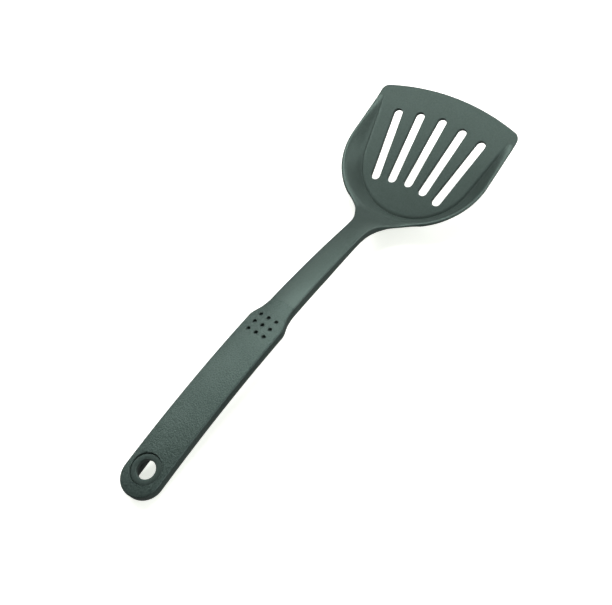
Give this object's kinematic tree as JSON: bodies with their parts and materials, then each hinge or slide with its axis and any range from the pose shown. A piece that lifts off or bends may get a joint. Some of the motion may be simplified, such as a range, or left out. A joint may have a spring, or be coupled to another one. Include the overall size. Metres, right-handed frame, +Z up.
{
  "type": "slotted turner spatula",
  "caption": "Slotted kitchen turner: a dished nylon blade with a raised rim, a curved shaft and a grained grip with a hanging hole.",
  "frame": {"origin": "centre of the footprint, on the table that the turner lies on", "axes": "+X along the turner, from the grip to the front edge of the blade; +Y to the left, seen from the grip; +Z up, square to the table"},
  "size_m": [0.328, 0.1038, 0.0476],
  "materials": {
    "blade_nylon": "satin",
    "grip_nylon": "fine grain",
    "eyelet_nylon": "satin"
  },
  "bodies": {
    "root": {"blade_and_shaft": "blade_nylon", "grip": "grip_nylon", "hanging_eyelet": "eyelet_nylon"}
  },
  "joints": []
}
